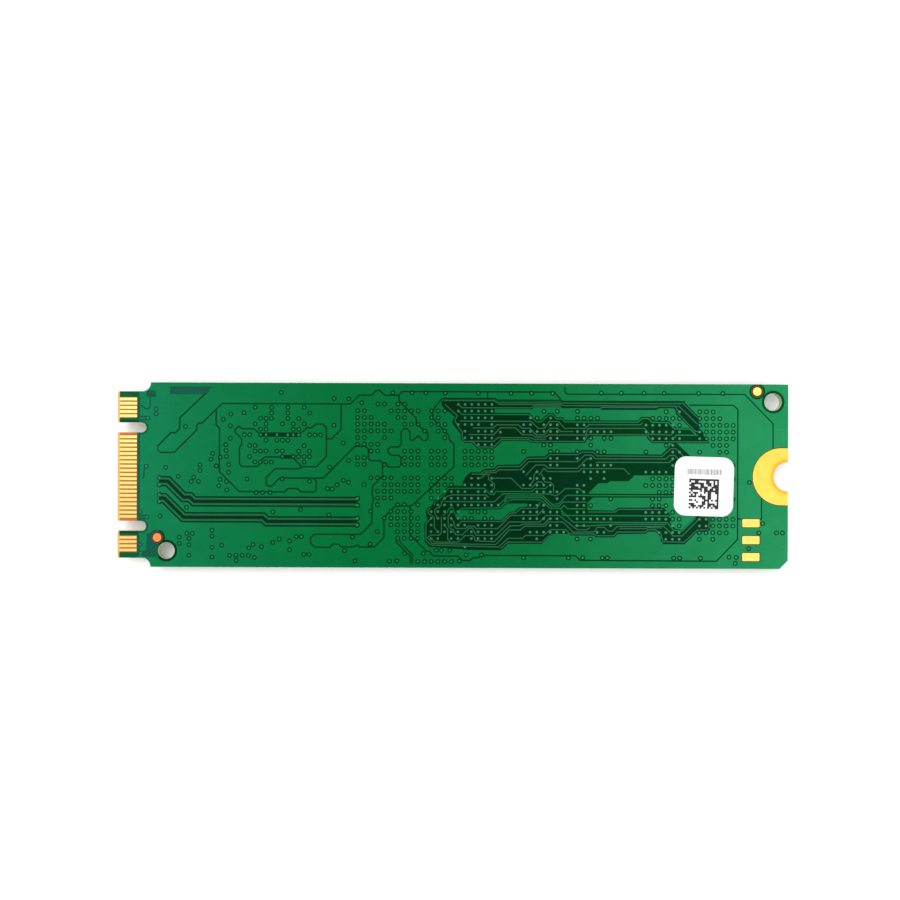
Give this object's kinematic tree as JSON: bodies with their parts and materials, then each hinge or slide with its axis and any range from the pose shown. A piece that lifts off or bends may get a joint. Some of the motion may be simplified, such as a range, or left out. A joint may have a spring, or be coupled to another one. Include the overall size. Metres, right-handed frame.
{
  "type": "solid state drive",
  "caption": "Gumstick solid state drive, 80 x 22 mm, two-key edge connector and screw notch, lying on its chips with its bare back up.",
  "frame": {"origin": "centre of the part's box, at the height of the chip faces it lies on", "axes": "+X from the edge connector to the screw notch, +Y to the side away from the test pads, +Z out of the bare back"},
  "size_m": [0.08, 0.022, 0.0021],
  "materials": {
    "laminate": "bare glass fibre laminate, seen at the contact edge and in the holes",
    "solder_mask": "green solder mask over copper",
    "gold_plating": "gold-plated copper",
    "label_paper": "white coated paper",
    "mould_compound": "black moulding compound",
    "solder": "bright tin solder",
    "ferrite": "dark ferrite",
    "fuse_body": "dark green coating",
    "capacitor_ceramic": "tan ceramic",
    "resistor_coat": "black glass coat",
    "brown_ceramic": "brown ceramic",
    "plated_lid": "plated metal lid"
  },
  "bodies": {
    "root": {"board": "laminate", "back_mask": "solder_mask", "front_mask": "solder_mask", "back_contacts": "gold_plating", "front_contacts": "gold_plating", "screw_land": "gold_plating", "test_pads": "gold_plating", "back_marks": "gold_plating", "front_marks": "gold_plating", "label": "label_paper", "controller_chip": "mould_compound", "controller_balls": "solder", "near_flash_chip": "mould_compound", "near_flash_balls": "solder", "far_flash_chip": "mould_compound", "far_flash_balls": "solder", "memory_chip": "mould_compound", "memory_balls": "solder", "power_chip": "mould_compound", "power_chip_pads": "solder", "regulator_chip": "mould_compound", "regulator_pads": "solder", "inductor_cores": "ferrite", "inductor_ends": "solder", "input_fuse": "fuse_body", "input_fuse_ends": "solder", "large_capacitors": "capacitor_ceramic", "large_capacitor_ends": "solder", "small_capacitors": "capacitor_ceramic", "small_capacitor_ends": "solder", "resistors": "resistor_coat", "resistor_ends": "solder", "crystal_base": "brown_ceramic", "crystal_lid": "plated_lid", "boot_chip": "mould_compound", "boot_chip_leads": "solder", "heat_sensor": "mould_compound", "heat_sensor_leads": "solder"}
  },
  "joints": []
}
